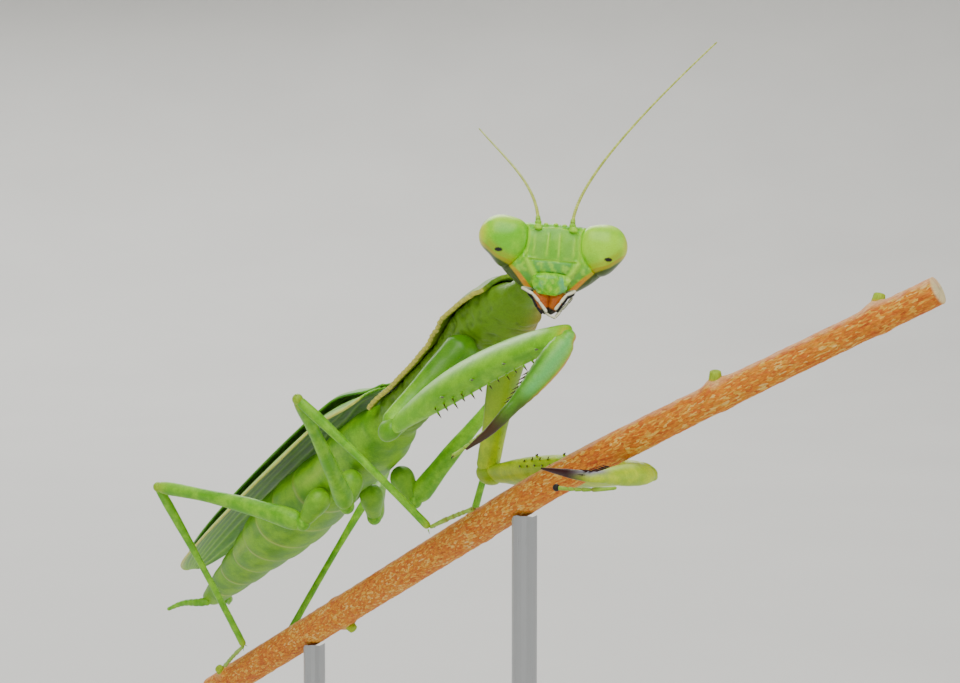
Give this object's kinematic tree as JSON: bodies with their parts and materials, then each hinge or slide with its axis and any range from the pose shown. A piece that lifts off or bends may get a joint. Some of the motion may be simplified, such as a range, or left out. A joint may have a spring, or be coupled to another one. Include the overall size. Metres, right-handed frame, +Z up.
{
  "type": "praying mantis model",
  "caption": "Still, life-size model of a green praying mantis climbing a cut stem, its head turned, on two rods and a flat base.",
  "frame": {"origin": "centre of the object's bounding box in plan, on the underside of the base", "axes": "+Z up, the animal heads towards -Y with its left side at +X, and the stem rises towards -Y"},
  "size_m": [0.036, 0.0742, 0.0554],
  "materials": {
    "head_cuticle": "satin, pale green",
    "eye": "smooth, low gloss",
    "antenna": "satin, straw green",
    "jaw": "satin, orange",
    "palp": "satin, cream",
    "thorax_cuticle": "finely wrinkled, olive green",
    "body_cuticle": "satin, green",
    "grasping_leg": "satin, light green",
    "walking_leg": "satin, green",
    "foot": "satin, straw green",
    "wing": "leathery, veined green",
    "stem_bark": "rough orange-brown bark",
    "rod_steel": "brushed",
    "base_acrylic": "polished off-white"
  },
  "bodies": {
    "root": {"abdomen": "body_cuticle", "antenna_left": "antenna", "antenna_right": "antenna", "cercus_left": "body_cuticle", "cercus_right": "body_cuticle", "eye_left": "eye", "eye_right": "eye", "foreleg_left_coxa": "thorax_cuticle", "foreleg_left_femur": "grasping_leg", "foreleg_left_tarsus": "foot", "foreleg_left_tibia": "grasping_leg", "foreleg_right_coxa": "thorax_cuticle", "foreleg_right_femur": "grasping_leg", "foreleg_right_tarsus": "foot", "foreleg_right_tibia": "grasping_leg", "head": "head_cuticle", "hindleg_left_coxa": "walking_leg", "hindleg_left_femur": "walking_leg", "hindleg_left_tarsus": "foot", "hindleg_left_tibia": "walking_leg", "hindleg_right_coxa": "walking_leg", "hindleg_right_femur": "walking_leg", "hindleg_right_tarsus": "foot", "hindleg_right_tibia": "walking_leg", "labium": "thorax_cuticle", "labrum": "head_cuticle", "mandible_left": "jaw", "mandible_right": "jaw", "midleg_left_coxa": "walking_leg", "midleg_left_femur": "walking_leg", "midleg_left_tarsus": "foot", "midleg_left_tibia": "walking_leg", "midleg_right_coxa": "walking_leg", "midleg_right_femur": "walking_leg", "midleg_right_tarsus": "foot", "midleg_right_tibia": "walking_leg", "neck": "thorax_cuticle", "palp_left": "palp", "palp_right": "palp", "perch_stem": "stem_bark", "pronotum": "thorax_cuticle", "prothorax": "thorax_cuticle", "pterothorax": "body_cuticle", "stand_base": "base_acrylic", "stand_rod_front": "rod_steel", "stand_rod_rear": "rod_steel", "tegmen_left": "wing", "tegmen_right": "wing"}
  },
  "joints": []
}
